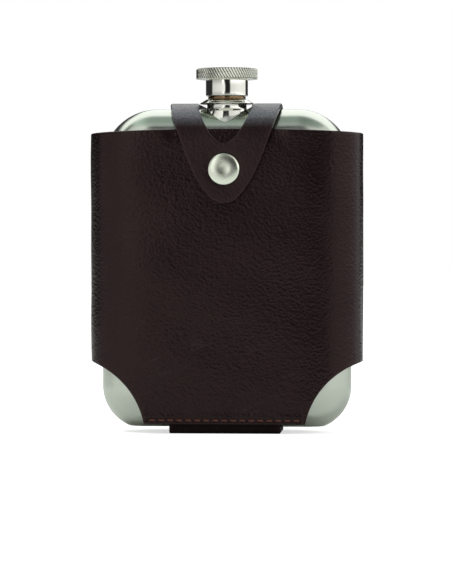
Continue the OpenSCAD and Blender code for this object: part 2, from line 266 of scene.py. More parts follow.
def leather(tone, gloss, level, creased=0.0, fold_highlight=0.0):
    """Pebbled, waxed leather. creased adds slanting wrinkles whose lines carry a painted highlight,
    fold_highlight a painted highlight: a greyer, bluish band over the top of the fold.
    """

    def build(g, shader, place):
        across, _, height = g.add("ShaderNodeSeparateXYZ", {"Vector": place}).outputs
        warp = g.noise(place, 0.12, 3.0)
        cloud = g.noise(place, 0.035, 4.0, 0.6, 0.6)
        speck = g.noise(place, 1.3, 2.0, 0.7)
        pebble = g.add(
            "ShaderNodeTexVoronoi",
            {"Vector": place, "Scale": 0.95, "Randomness": 1.0, "Smoothness": 0.35},
            feature="SMOOTH_F1",
        ).outputs["Distance"]
        turned = g.scaled(place, (1.0, 1.0, 1.0), (0.0, CREASE_SLOPE, 0.0))
        fold = g.noise(g.scaled(turned, CREASE_STRETCH), 1.0, 3.0, 0.5, 0.15)
        off_line = g.math("ABSOLUTE", g.math("SUBTRACT", fold, 0.5))
        line = g.ramp(off_line, [(0.0, 1.0), (0.012, 0.0)], "EASE")
        broken = g.ramp(g.noise(place, 0.07, 2.0), [(0.42, 0.0), (0.56, 1.0)])
        lower = g.ramp(g.math("MULTIPLY", height, 0.01), [(0.30, 1.0), (0.60, 0.12)])
        sideways = g.math("MULTIPLY_ADD", across, 0.005, 0.5)
        left = g.ramp(sideways, [(0.45, creased), (0.62, creased * 0.35)])
        crease = g.math("MULTIPLY", g.math("MULTIPLY", line, broken), g.math("MULTIPLY", lower, left))
        edge = g.attribute("edge")
        dark = tuple(c * 0.62 for c in tone)
        light = tuple(c * 1.45 for c in tone)
        colour = g.mix(g.ramp(cloud, [(0.3, 0.0), (0.7, 1.0)]), dark, light)
        colour = g.mix(g.ramp(speck, [(0.45, 0.0), (0.70, 0.5)]), colour, SPECK_TONE)
        # The creases' bump is real. The lighter grey mixed in along their lines is a painted highlight.
        colour = g.mix(g.math("MULTIPLY", crease, 0.35), colour, CREASE_HIGHLIGHT_TONE)
        colour = g.mix(g.math("MULTIPLY", edge, 0.35), colour, EDGE_TONE)
        # Painted highlight: a bluish grey band over the top of the fold, speckled by the grain, standing in
        # for the overhead light caught there.
        fold_glint = g.ramp(g.math("MULTIPLY", height, 1 / FOLD_HIGHLIGHT_SPAN), FOLD_HIGHLIGHT_BAND)
        fold_glint = g.math("MULTIPLY", fold_glint, g.math("MULTIPLY_ADD", speck, 2.4, -0.2))
        colour = g.mix(g.math("MULTIPLY", fold_glint, fold_highlight, clamp=True), colour, FOLD_HIGHLIGHT_TONE)
        g.put(shader.inputs["Base Color"], colour)
        rough = g.math("MULTIPLY_ADD", warp, 0.14, gloss)
        rough = g.math("MULTIPLY_ADD", edge, -0.08, rough)
        g.put(shader.inputs["Roughness"], rough)
        shader.inputs["Specular IOR Level"].default_value = level
        shader.inputs["Specular Tint"].default_value = LEATHER_SHEEN
        normal = bump(g, pebble, 0.70, 0.00011)
        normal = bump(g, speck, 0.50, 0.00007, normal)
        normal = bump(g, crease, 0.70, 0.00020, normal)
        normal = bump(g, g.noise(place, 0.25, 3.0), 0.30, 0.00014, normal)
        g.put(shader.inputs["Normal"], normal)

    return build


def flesh(g, shader, place):
    """The fibrous inner side of the leather."""
    fibre = g.noise(place, 2.2, 4.0, 0.7)
    colour = g.ramp(fibre, [(0.3, (0.02, 0.012, 0.010)), (0.7, (0.055, 0.034, 0.028))])
    g.put(shader.inputs["Base Color"], colour)
    g.put(shader.inputs["Roughness"], g.math("MULTIPLY_ADD", fibre, 0.15, 0.78))
    g.put(shader.inputs["Normal"], bump(g, fibre, 0.6, 0.0002))


def metal(tint, roughness, grain, strength):
    """Polished or brushed metal: fine lines stretched by grain, a little cloudiness and faint scratches."""

    def build(g, shader, place):
        lines = g.noise(g.scaled(place, grain), 1.0, 3.0, 0.6)
        cloud = g.noise(place, 0.08, 3.0)
        slanted = g.scaled(place, (0.35, 0.5, 2.4), (0.3, 0.5, 0.2))
        ridges = g.noise(slanted, 1.0, 4.0, 0.5, 2.0, "RIDGED_MULTIFRACTAL")
        scratch = g.ramp(ridges, [(0.70, 0.0), (0.78, 1.0)])
        low = tuple(c * 0.93 for c in tint)
        g.put(shader.inputs["Base Color"], g.mix(cloud, low, tint))
        shader.inputs["Metallic"].default_value = 1.0
        rough = g.math("MULTIPLY_ADD", lines, 0.10 * strength + 0.02, roughness)
        rough = g.math("MULTIPLY_ADD", scratch, 0.04, rough)
        g.put(shader.inputs["Roughness"], rough)
        normal = bump(g, lines, 0.25 * strength, 0.00003)
        normal = bump(g, g.noise(place, 0.05, 2.0), 0.25, 0.0003, normal)
        g.put(shader.inputs["Normal"], normal)

    return build


def knurled(g, shader, place):
    """Brushed metal, with painted shade darkening the bottom of the grooves."""
    metal(KNOB_TINT, 0.12, (0.6, 0.6, 3.0), 0.5)(g, shader, place)
    x, y, _ = g.add("ShaderNodeSeparateXYZ", {"Vector": place}).outputs
    radius = g.math("SQRT", g.math("ADD", g.math("MULTIPLY", x, x), g.math("MULTIPLY", y, y)))
    depth = g.math("SUBTRACT", radius, KNOB_R - RIDGE_DEPTH)
    # Painted shade: the colour darkens towards the bottom of each groove, except on the knob's top.
    groove_shade = g.ramp(depth, [(0.02, 0.14), (RIDGE_DEPTH * 0.8, 1.0)])
    top = g.ramp(g.math("SUBTRACT", KNOB_R - RIDGE_DEPTH, radius), [(0.30, 0.0), (0.50, 1.0)])
    groove_shade = g.mix(top, groove_shade, (1.0, 1.0, 1.0))
    base = shader.inputs["Base Color"]
    g.put(base, g.mix(1.0, base.links[0].from_socket, groove_shade, "MULTIPLY"))


def plastic(tint, roughness):
    def build(g, shader, place):
        cloud = g.noise(place, 0.8, 3.0)
        g.put(shader.inputs["Base Color"], g.mix(cloud, tuple(c * 0.85 for c in tint), tint))
        g.put(shader.inputs["Roughness"], g.math("MULTIPLY_ADD", cloud, 0.12, roughness))
        g.put(shader.inputs["Normal"], bump(g, g.noise(place, 3.0, 2.0), 0.15, 0.00005))

    return build


def copper(g, shader, place):
    cloud = g.noise(place, 0.9, 3.0)
    g.put(shader.inputs["Base Color"], g.mix(cloud, (0.16, 0.095, 0.05), (0.28, 0.19, 0.115)))
    g.put(shader.inputs["Roughness"], g.math("MULTIPLY_ADD", cloud, 0.06, 0.04))
    shader.inputs["Metallic"].default_value = 1.0
    g.put(shader.inputs["Normal"], bump(g, cloud, 0.2, 0.00005))


def waxed_thread(g, shader, place):
    """Red-brown thread, with painted shade making it darker where its two plies meet."""
    strand = g.noise(place, 4.0, 3.0)
    ply = g.attribute("ply")
    colour = g.mix(strand, (0.050, 0.010, 0.005), (0.13, 0.036, 0.016))
    # Painted shade in the valley between the plies.
    colour = g.mix(g.math("MULTIPLY", ply, 0.6), colour, (0.03, 0.008, 0.006))
    g.put(shader.inputs["Base Color"], colour)
    g.put(shader.inputs["Roughness"], g.math("MULTIPLY_ADD", strand, 0.2, 0.42))
    g.put(shader.inputs["Normal"], bump(g, strand, 0.5, 0.00008))


MATS = {
    "sleeve": material("sleeve_leather", leather(LEATHER_TONE, 0.18, 0.33, creased=0.7)),
    # fold_highlight=1.0 turns on the painted highlight over the strap's fold
    "strap": material("strap_leather", leather(STRAP_TONE, 0.28, 0.40, creased=0.1, fold_highlight=1.0)),
    # painted shade: a darker copy of the leather for the base strap in the flask's shadow
    "shaded_tab": material("shaded_tab_leather", leather(SHADED_TAB_TONE, 0.5, 0.15)),
    "flesh": material("leather_flesh_side", flesh),
    "flask": material("flask_steel", metal(STEEL_TINT, 0.17, (0.06, 0.06, 3.0), 0.8)),
    "chrome": material("neck_chrome", metal(CHROME_TINT, 0.03, (0.1, 0.1, 5.0), 0.3)),
    "knob": material("knob_metal", knurled),
    "snap": material("snap_metal", metal(SNAP_TINT, 0.17, (0.8, 0.8, 0.8), 0.6)),
    "washer": material("washer_ring", copper),
    "thread": material("waxed_thread", waxed_thread),
}
CAD_MATS = {
    "cad_steel": material("inner_steel", metal(STEEL_TINT, 0.16, (0.1, 0.1, 4.0), 0.5), rest=False),
    "cad_plastic": material("insert_plastic", plastic((0.80, 0.80, 0.76), 0.35), rest=False),
    "cad_rubber": material("liner_rubber", plastic((0.05, 0.05, 0.05), 0.6), rest=False),
}


# ---------- mesh helpers ----------
def finish_mesh(bm, name, mats, smooth_angle):
    """Writes bm, in millimetres, to a new object. Each point's place stays in its rest attribute."""
    mesh = bpy.data.meshes.new(name)
    bmesh.ops.recalc_face_normals(bm, faces=bm.faces)
    bm.to_mesh(mesh)
    bm.free()
    count = len(mesh.vertices)
    co = np.empty(count * 3, np.float32)
    mesh.vertices.foreach_get("co", co)
    rest = mesh.attributes.new("rest", "FLOAT_VECTOR", "POINT")
    rest.data.foreach_set("vector", co)
    mesh.vertices.foreach_set("co", co * MM)
    for mat in mats:
        mesh.materials.append(MATS[mat])
    mesh.shade_smooth()
    mesh.set_sharp_from_angle(angle=math.radians(smooth_angle))
    obj = bpy.data.objects.new(name, mesh)
    scene.collection.objects.link(obj)
    return obj


def add_grid(bm, points, wrap_rows=False, wrap_cols=False, values=None, layer=None, mats=None, skip=None):
    """Adds a grid of points, rows by columns, with a face between neighbours except where skip is true.

    values go to the vertices' layer, and mats is each column's material.
    """
    rows, cols = points.shape[:2]
    verts = [[bm.verts.new(points[i, j]) for j in range(cols)] for i in range(rows)]
    if layer is not None:
        for i in range(rows):
            for j in range(cols):
                verts[i][j][layer] = float(values[i, j])
    for i in range(rows if wrap_rows else rows - 1):
        for j in range(cols if wrap_cols else cols - 1):
            if skip is not None and skip[i, j]:
                continue
            here, above = verts[i], verts[(i + 1) % rows]
            after = (j + 1) % cols
            face = bm.faces.new((here[j], here[after], above[after], above[j]))
            if mats is not None:
                face.material_index = mats[j]
    return verts


def lathe(name, profile, segments, mats, angle=30.0):
    """Turns a profile of radius and height round the vertical.

    A profile that starts off the axis is a closed loop.
    """
    bm = bmesh.new()
    turn = np.arange(segments) * 2 * math.pi / segments
    closed = profile[0][0] > 0
    rings = [np.column_stack([r * np.cos(turn), r * np.sin(turn), np.full(segments, z)]) for r, z in profile]
    add_grid(bm, np.array(rings), wrap_rows=closed, wrap_cols=True)
    bmesh.ops.remove_doubles(bm, verts=bm.verts, dist=1e-5)
    return finish_mesh(bm, name, mats, angle)


def rounded(profile, radius, steps=3):
    """Rounds each inner corner of a profile by up to radius, or by the point's own third value."""
    out = [tuple(profile[0][:2])]
    for before, here, after in zip(profile, profile[1:], profile[2:]):
        r = here[2] if len(here) > 2 else radius
        a, p, b = (np.array(v[:2], float) for v in (before, here, after))
        la, lb = np.linalg.norm(a - p), np.linalg.norm(b - p)
        reach = min(r, la * 0.45, lb * 0.45)
        if reach < 1e-3:
            out.append(tuple(p))
            continue
        start, end = p + (a - p) / la * reach, p + (b - p) / lb * reach
        for k in range(steps + 1):
            t = k / steps
            out.append(tuple((1 - t) ** 2 * start + 2 * t * (1 - t) * p + t * t * end))
    out.append(tuple(profile[-1][:2]))
    return out


# ---------- flask ----------
def flask_outline(inset):
    """The flask's outline seen from the front, moved in by inset: points in X and Z."""
    arc_steps, side_steps = 60, 30
    points = []
    corners = (
        (FLASK_HALF_W - SHOULDER_R, FLASK_TOP - SHOULDER_R, SHOULDER_R, 0),
        (-(FLASK_HALF_W - SHOULDER_R), FLASK_TOP - SHOULDER_R, SHOULDER_R, 90),
        (-(FLASK_HALF_W - FOOT_R), FLASK_LOW + FOOT_R, FOOT_R, 180),
        (FLASK_HALF_W - FOOT_R, FLASK_LOW + FOOT_R, FOOT_R, 270),
    )
    for n, (cx, cz, r, start) in enumerate(corners):
        arc = [math.radians(start + 90 * k / arc_steps) for k in range(arc_steps + 1)]
        points += [(cx + (r - inset) * math.cos(a), cz + (r - inset) * math.sin(a)) for a in arc]
        nx, nz, nr, nstart = corners[(n + 1) % 4]
        a = math.radians(nstart)
        to = (nx + (nr - inset) * math.cos(a), nz + (nr - inset) * math.sin(a))
        x0, z0 = points[-1]
        dx, dz = to[0] - x0, to[1] - z0
        points += [(x0 + dx * k / side_steps, z0 + dz * k / side_steps) for k in range(1, side_steps)]
    return np.array(points)


def flask_half(name, side):
    """One pressed half: a quarter round at its edge, then flat to a spine down the middle."""
    bm = bmesh.new()
    rows = []
    for psi in np.radians(np.linspace(0, 90, 23)):
        outline = flask_outline(EDGE_R * (1 - math.cos(psi)))
        depth = np.full(len(outline), side * EDGE_R * math.sin(psi))
        rows.append(np.column_stack([outline[:, 0], depth, outline[:, 1]]))
    flat = rows[-1]
    spine = np.column_stack([np.zeros(len(flat)), flat[:, 1], np.clip(flat[:, 2], 45.0, 80.0)])
    rows += [flat + (spine - flat) * k / 5 for k in range(1, 6)]
    points = np.array(rows)
    points[:, :, 2] = np.maximum(points[:, :, 2], FLASK_FLOOR)
    add_grid(bm, points, wrap_cols=True)
    bmesh.ops.remove_doubles(bm, verts=bm.verts, dist=1e-4)
    top = [f for f in bm.faces if f.calc_center_median().z > FLASK_TOP - 5.0]
    under_neck = [f for f in top if min(math.hypot(v.co.x, v.co.y) for v in f.verts) < NECK_HOLE_R]
    bmesh.ops.delete(bm, geom=under_neck, context="FACES")
    obj = finish_mesh(bm, name, ["flask"], 60.0)
    thicken(obj, STEEL_T * MM)
    return obj


def thicken(obj, thickness):
    """Gives an open surface its thickness on the inside, as real faces."""
    modifier = obj.modifiers.new("thickness", "SOLIDIFY")
    modifier.thickness = thickness
    modifier.offset = -1.0
    apply_modifiers(obj)


def apply_modifiers(obj):
    bpy.context.view_layer.update()
    graph = bpy.context.evaluated_depsgraph_get()
    solid = obj.evaluated_get(graph)
    mesh = bpy.data.meshes.new_from_object(solid, preserve_all_data_layers=True, depsgraph=graph)
    obj.modifiers.clear()
    obj.data = mesh


for name, side, node in (("flask_front", -1, "flask_front_shell"), ("flask_rear", 1, "flask_rear_shell")):
    shell = flask_half(name, side)
    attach(shell, "root")
    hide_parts(node)


# ---------- neck and cap ----------
def neck_base():
    """The turned neck base, whose bottom edge follows the flask's round top."""
    segments = 192
    turn = np.arange(segments) * 2 * math.pi / segments
    skirt_z = ROUND_Z + math.sqrt(EDGE_R**2 - SKIRT_R**2)
    skirt_top = FLASK_TOP + 0.2
    slope = (SKIRT_R - WAIST_R) / (skirt_top - skirt_z)

    def skirt_foot(angle):
        """Height and radius where the skirt's cone meets the round top, found by halving."""
        low, high = skirt_z - 1.0, skirt_top
        for _ in range(40):
            z = (low + high) / 2
            r = SKIRT_R - slope * (z - skirt_z)
            if (r * math.sin(angle)) ** 2 + (z - ROUND_Z) ** 2 > EDGE_R**2:
                high = z
            else:
                low = z
        return z, SKIRT_R - slope * (z - skirt_z)

    upper = rounded(
        [
            (WAIST_R + slope * 1.0, FLASK_TOP - 0.8),
            (WAIST_R, FLASK_TOP + 0.25, 0.5),
            (WAIST_R, 124.85, 0.35),
            (FLANGE_R - 0.05, 124.9, 0.12),
            (FLANGE_R, 125.12, 0.12),
            (7.9, NECK_BASE_TOP - 0.08, 0.5),
            (7.6, NECK_BASE_TOP),
            (NECK_R, NECK_BASE_TOP),
            (NECK_R, FLASK_TOP - 1.0),
        ],
        0.1,
    )
    foot = [skirt_foot(a) for a in turn]
    rings = []
    for k in range(9):
        t = k / 8
        ring = []
        for a, (z, r) in zip(turn, foot):
            start_r, start_z = upper[0]
            flare = 0.12 * (1 - t) ** 4
            rr = r + (start_r - r) * t + flare
            zz = z + (start_z - z) * t - flare * 0.4
            ring.append((rr * math.cos(a), rr * math.sin(a), zz))
        rings.append(ring)
    for r, z in upper[1:]:
        rings.append([(r * math.cos(a), r * math.sin(a), z) for a in turn])
    bm = bmesh.new()
    add_grid(bm, np.array(rings), wrap_cols=True, wrap_rows=True)
    return finish_mesh(bm, "neck_base_turned", ["chrome"], 35.0)


base = neck_base()
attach(base, "root")
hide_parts("neck_base")

inner, outer, low, high = WASHER
washer_section = [
    (inner, low),
    (outer, low),
    (outer + 0.08, (low + high) / 2),
    (outer, high),
    (inner, high),
    (inner, low),
]
ring = lathe("washer_ring", rounded(washer_section, 0.25), 96, ["washer"])
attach(ring, "root")
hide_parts("neck_washer")

barrel = lathe(
    "cap_barrel_polished",
    rounded(
        [
            (7.15, BARREL_Z0),
            (BARREL_R - 0.08, BARREL_Z0, 0.03),
            (BARREL_R, BARREL_Z0 + 0.1, 0.05),
            (BARREL_R, KNOB_Z0 - 0.35, 0.12),
            (BARREL_R - 0.15, KNOB_Z0 - 0.2, 0.1),
            (BARREL_R - 0.15, KNOB_Z0 + 0.02, 0.05),
            (7.2, KNOB_Z0 + 0.02, 0.05),
            (7.2, KNOB_Z0 + 1.8, 0.05),
            (1.5, KNOB_Z0 + 1.8),
            (1.5, KNOB_Z0 + 1.0),
            (7.15, KNOB_Z0 + 1.0, 0.05),
            (7.15, BARREL_Z0),
        ],
        0.08,
    ),
    192,
    ["chrome"],
    angle=25.0,
)
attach(barrel, "cap")
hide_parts("cap_barrel")


def knob():
    """The knurled knob: slanted ridges round the rim, machined rings on top."""
    columns = RIDGES * 8
    turn = np.arange(columns) * 2 * math.pi / columns
    z1 = KNOB_Z0 + KNOB_H
    collar_r, dish_r, dish_z = 7.2, 9.35, z1 - 0.22
    foot = [(collar_r, KNOB_Z0, 0.0), (KNOB_R - 0.15, KNOB_Z0, 0.05), (KNOB_R, KNOB_Z0 + 0.15, 0.05)]
    body = rounded(foot, 0.15)
    body += [(KNOB_R, KNOB_Z0 + 0.4 + 2.9 * k / 7) for k in range(8)]
    rim = [
        (KNOB_R, z1 - 0.35),
        (KNOB_R - 0.35, z1 - 0.03, 0.12),
        (KNOB_R - 0.9, z1, 0.2),
        (9.6, z1 - 0.02, 0.1),
        (dish_r, dish_z, 0.1),
    ]
    body += rounded(rim, 0.15)
    for k in range(1, 15):
        body.append((dish_r * (1 - k / 15) + 0.12, dish_z + 0.03 * (k % 2)))
    body.append((0.0, dish_z))
    rings = []
    for r, z in body:
        share = np.clip((r - (KNOB_R - 0.85)) / 0.5, 0, 1)
        phase = turn * RIDGES + RIDGE_TWIST * RIDGES * (z - KNOB_Z0) / RIDGE_RISE
        wave = np.abs(((phase / (2 * math.pi)) % 1.0) * 2 - 1)
        groove = RIDGE_DEPTH * share * np.clip(1.15 - 1.45 * wave, 0, 1)
        rr = r - groove
        rings.append(np.column_stack([rr * np.cos(turn), rr * np.sin(turn), np.full(columns, z)]))
    ceiling = np.full(columns, KNOB_Z0 + 1.85)
    under = [np.column_stack([r * np.cos(turn), r * np.sin(turn), ceiling]) for r in (0.0, collar_r)]
    bm = bmesh.new()
    add_grid(bm, np.array(under + rings), wrap_cols=True)
    bmesh.ops.remove_doubles(bm, verts=bm.verts, dist=1e-5)
    return finish_mesh(bm, "cap_knob_knurled", ["knob"], 40.0)


top = knob()
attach(top, "cap")
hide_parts("cap_knob")


# ---------- sleeve ----------
def sleeve_half_depth(x):
    """How far the sleeve's outer face is from its middle plane at x."""
    return SLEEVE_HALF_D * (1 - (abs(x) / SLEEVE_HALF_W) ** SLEEVE_P) ** (1 / SLEEVE_Q)


def sleeve_loop():
    """Points and outward normals round the sleeve, from one side of the butt joint behind to the other.

    They are closer together near CUT_FOOT_X, where the edge turns most.
    """
    t = np.linspace(0, 2 * math.pi, 40001)
    c, s = np.sin(t), np.cos(t)
    x = SLEEVE_HALF_W * np.sign(c) * np.abs(c) ** (2 / SLEEVE_P)
    y = SLEEVE_HALF_D * np.sign(s) * np.abs(s) ** (2 / SLEEVE_Q)
    x[0], x[-1] = JOINT_HALF, -JOINT_HALF
    step = np.hypot(np.diff(x), np.diff(y))
    weight = 1 + 4.0 * np.exp(-(((np.abs(x[1:]) - CUT_FOOT_X) / 1.6) ** 2))
    run = np.concatenate([[0], np.cumsum(step * weight)])
    at = np.linspace(0, run[-1], 372)
    px, py = np.interp(at, run, x), np.interp(at, run, y)
    nx = np.sign(px) * (np.abs(px) / SLEEVE_HALF_W) ** (SLEEVE_P - 1) / SLEEVE_HALF_W * SLEEVE_P
    ny = np.sign(py) * (np.abs(py) / SLEEVE_HALF_D) ** (SLEEVE_Q - 1) / SLEEVE_HALF_D * SLEEVE_Q
    size = np.hypot(nx, ny)
    return px, py, nx / size, ny / size


def leather_waves(x, z, back):
    """A leather panel is never quite flat: slow waves, a fraction of a millimetre high."""
    shift = np.where(back, 2.0, 0.0)
    wave = 0.16 * np.sin(0.050 * x + 0.030 * z + 1.0 + shift)
    wave += 0.12 * np.sin(-0.035 * x + 0.085 * z + 2.2 + shift)
    wave += 0.06 * np.sin(0.16 * x - 0.11 * z + 0.4)
    wave += 0.05 * np.sin(0.09 * x + 0.21 * z + 4.0)
    return wave


def rim_profile(z_low, z_high, thickness, radius, outer_rows, inner_rows=8, steps=3):
    """Depth and height round a sheet's section: up the outside, over the rim, down the inside and back."""
    depth, height = [], []
    near = np.arange(0, 4.0, 0.3)
    span = z_high - z_low - 2 * radius
    far = near[-1] + (span - near[-1]) * np.linspace(0, 1, outer_rows)[1:]
    for rise in np.concatenate([near, far]):
        depth.append(0.0)
        height.append(z_low + radius + rise)
    for k in range(1, 2 * steps + 1):
        a = math.pi * k / (2 * steps)
        depth.append(radius * (1 - math.cos(a)) if k <= steps else thickness - radius * (1 + math.cos(a)))
        height.append(z_high - radius + radius * math.sin(a))
    for k in range(1, inner_rows):
        depth.append(thickness)
        height.append(z_high - radius - span * k / inner_rows)
    for k in range(0, 2 * steps):
        a = math.pi * k / (2 * steps)
        depth.append(thickness - radius * (1 - math.cos(a)) if k <= steps else radius * (1 + math.cos(a)))
        height.append(z_low + radius - radius * math.sin(a))
    return np.array(depth), np.array(height)


def sleeve():
    """The wrap, with cut corners, slow waves and the groove that each bottom stitch row lies in."""
    px, py, nx, ny = sleeve_loop()
    out_rows = 112
    seam_half = 29.5
    columns = []
    edges = []
    for x, y, ax, ay in zip(px, py, nx, ny):
        reach = CUT_R**2 - (CUT_X - abs(x)) ** 2
        low = max(SLEEVE_Z0, CUT_Z + math.sqrt(reach)) if reach > 0 else SLEEVE_Z0
        high = SLEEVE_Z1 - x * x / SLEEVE_BOW
        depth, height = rim_profile(low, high, SLEEVE_T, 0.5, out_rows)
        hx = x - ax * depth
        hy = y - ay * depth
        wave = leather_waves(np.full_like(height, x), height, y > 0)
        calm = np.clip((height - 6.0) / 20.0, 0.15, 1.0) * np.clip((118 - height) / 12.0, 0.3, 1.0)
        lift = wave * calm * (0.35 if y > 0 else 1.0)
        groove_z = SLEEVE_Z0 + BOTTOM_STITCH_RISE
        stitched = np.exp(-(((height - groove_z) / 0.55) ** 2)) * (abs(x) < seam_half)
        outside = depth < 0.01
        lift = lift - np.where(outside, 0.28 * stitched, 0)
        pressed = np.exp(-(((height - 8.4) / 1.6) ** 2)) * (abs(x) < seam_half) * 0.10
        lift = lift - np.where(outside, pressed, 0)
        under_strap = np.clip((24.0 - abs(x)) / 4.0, 0, 1) * np.clip((height - 107.0) / 7.0, 0, 1) ** 2
        lift = lift - 0.5 * under_strap
        columns.append(np.column_stack([hx + ax * lift, hy + ay * lift, height]))
        gap = np.minimum(high - height, height - SLEEVE_Z0)
        cut = np.hypot(CUT_X - abs(x), height - CUT_Z) - CUT_R
        gap = np.minimum(gap, cut)
        near_slit = abs(x) if y > 0 else 99.0
        gap = np.minimum(gap, near_slit)
        edges.append(np.exp(-np.maximum(gap, 0) / 0.7))
    points = np.array(columns)
    count = points.shape[1]
    bm = bmesh.new()
    layer = bm.verts.layers.float.new("edge")
    inside_from = 13 + out_rows + 6  # rim_profile's rows up the outside and over the rim
    mats = [1 if inside_from <= j < inside_from + 8 else 0 for j in range(count)]
    verts = add_grid(bm, points, wrap_cols=True, values=np.array(edges), layer=layer, mats=mats)
    for end in (verts[0], verts[-1]):
        bm.faces.new(end)
    bmesh.ops.triangulate(bm, faces=[f for f in bm.faces if len(f.verts) > 4])
    return finish_mesh(bm, "sleeve", ["sleeve", "flesh"], 60.0)


wrap = sleeve()
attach(wrap, "root")
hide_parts("sleeve_wrap")


# ---------- straps ----------
def strap_path():
    """The strap's outer face, from the tongue's tip over the top and down the back, and its length so far.

    Each row is a point and its outward normal, in Y and Z.
    """
    half_d = STRAP_IN + STRAP_T
    rise = STRAP_OVER_R + STRAP_T
    t = np.linspace(0, math.pi, 4001)
    y = -half_d * np.sign(np.cos(t)) * np.abs(np.cos(t)) ** (2 / ARCH_P)
    z = ROUND_Z + rise * np.sin(t) ** (2 / ARCH_P)
    front = np.linspace(TIP_Z, ROUND_Z, 200)[:-1]
    back = np.linspace(ROUND_Z, STRAP_BACK_Z0, 600)[1:]
    py = np.concatenate([np.full(len(front), -half_d), y, np.full(len(back), half_d)])
    pz = np.concatenate([front, z, back])
    run = np.concatenate([[0], np.cumsum(np.hypot(np.diff(py), np.diff(pz)))])
    at = np.arange(0, run[-1], 0.2)
    at = np.append(at, run[-1])
    py, pz = np.interp(at, run, py), np.interp(at, run, pz)
    dy, dz = np.gradient(py), np.gradient(pz)
    size = np.hypot(dy, dz)
    return np.column_stack([py, pz, -dz / size, dy / size]), at


def ribbon(
    name, path, run, half_width, hole, stations, thickness, radius, mats,
    relief=None, lines=None, ends=(False, True),
):
    """A leather strip along a path, with rounded edges and, where hole is above 0, an opening in its middle.

    It is made as two mirrored halves. near holds the rows' distances from each edge, gap how far a point is
    from the nearest edge and drop how far the rounding lowers it.
    """
    py, pz, ny, nz = (np.interp(stations, run, path[:, k]) for k in range(4))
    size = np.hypot(ny, nz)
    ny, nz = ny / size, nz / size
    wide = np.array([half_width(y, z) for y, z in zip(py, pz)])
    open_w = np.array([hole(y, z, a) for y, z, a in zip(py, pz, ny)])
    near = np.array([0.0, 0.08, 0.2, 0.36, 0.6, 1.0, 1.5])
    middle = 16
    cols = len(near) * 2 + middle
    across = np.zeros((len(stations), cols))
    for i, (w, h) in enumerate(zip(wide, open_w)):
        f = min(1.0, (w - h) / 4.0)
        left = h + near * f
        right = (w - near * f)[::-1]
        mid = np.linspace(left[-1], right[0], middle + 2)[1:-1]
        across[i] = np.concatenate([left, mid, right])
    dense = np.linspace(stations[0], stations[-1], 2400)
    dy, dz, dn = (np.interp(dense, run, path[:, k]) for k in (0, 1, 2))
    border = [(half_width(y, z), s) for s, y, z in zip(dense, dy, dz)]
    border += [(hole(y, z, a), s) for s, y, z, a in zip(dense, dy, dz, dn) if hole(y, z, a) > 0]
    for k, closed in enumerate(ends):
        if closed:
            s = stations[-1] if k else stations[0]
            border += [(x, s) for x in np.linspace(0, wide[-1 if k else 0], 200)]
    border = np.array(border)
    gap = np.empty_like(across)
    for i, s in enumerate(stations):
        apart = (across[i][:, None] - border[None, :, 0]) ** 2 + (s - border[None, :, 1]) ** 2
        gap[i] = np.sqrt(apart.min(1))
    drop = np.where(gap < radius, radius - np.sqrt(np.maximum(0, radius**2 - (radius - gap) ** 2)), 0.0)
    bm = bmesh.new()
    layer = bm.verts.layers.float.new("edge")
    for mirror in (-1, 1):
        loops = []
        values = []
        for i in range(len(stations)):
            x = across[i]
            sink = drop[i] + (relief(x, py[i], pz[i]) if relief is not None else 0)
            upper = np.column_stack([mirror * x, py[i] - ny[i] * sink, pz[i] - nz[i] * sink])
            under = thickness - drop[i]
            lower = np.column_stack([mirror * x, py[i] - ny[i] * under, pz[i] - nz[i] * under])
            half = thickness / 2
            rim = np.array([[mirror * x[-1], py[i] - ny[i] * half, pz[i] - nz[i] * half]])
            bore = np.array([[mirror * x[0], py[i] - ny[i] * half, pz[i] - nz[i] * half]])
            loops.append(np.concatenate([upper, rim, lower[::-1], bore]))
            glow = np.exp(-gap[i] / 0.7)
            if lines is not None:
                glow = np.maximum(glow, lines(x, py[i], pz[i], gap[i]))
            values.append(np.concatenate([glow, [0.6], glow[::-1] * 0.3, [0.6]]))
        points = np.array(loops)
        count = points.shape[1]
        skip = np.zeros((len(stations), count), bool)
        solid = (open_w[:-1] <= 0) & (open_w[1:] <= 0)
        skip[:-1, count - 2] = solid
        skip[:-1, count - 1] = solid
        index = [0] * (cols + 1) + [1] * (cols - 1) + [0, 0]
        shades = np.array(values)
        verts = add_grid(bm, points, wrap_cols=True, values=shades, layer=layer, mats=index, skip=skip)
        for k, closed in enumerate(ends):
            if closed:
                row = verts[-1 if k else 0]
                for j in range(cols - 1):
                    bm.faces.new((row[j], row[j + 1], row[2 * cols - 1 - j], row[2 * cols - j]))
                bm.faces.new((row[cols - 1], row[cols], row[cols + 1]))
    loose = [v for v in bm.verts if not v.link_faces]
    bmesh.ops.delete(bm, geom=loose, context="VERTS")
    bmesh.ops.remove_doubles(bm, verts=bm.verts, dist=2e-3)
    bmesh.ops.dissolve_degenerate(bm, edges=bm.edges, dist=1e-4)
    return finish_mesh(bm, name, mats, 60.0)


def tongue_half(y, z):
    """The strap's half width: a parabola on the front, full width over the top and behind."""
    if y < -8.0 or (y < 0 and z < 124.5):
        return min(STRAP_HALF_W, math.sqrt(max(0.0, TONGUE_K * (z - TIP_Z))))
    return STRAP_HALF_W


def neck_opening(y, z, normal_y):
    """The opening's half width: a circle round the neck, and a parabola that runs down the front."""
    inner_y = abs(y) - STRAP_T * abs(normal_y)
    half = math.sqrt(max(0.0, HOLE_R**2 - inner_y**2)) if abs(y) < HOLE_R and z > 112 else 0.0
    if y < 0 and z > HOLE_TIP_Z:
        half = max(half, min(HOLE_LIMIT, math.sqrt(HOLE_K * (z - HOLE_TIP_Z))))
    return half


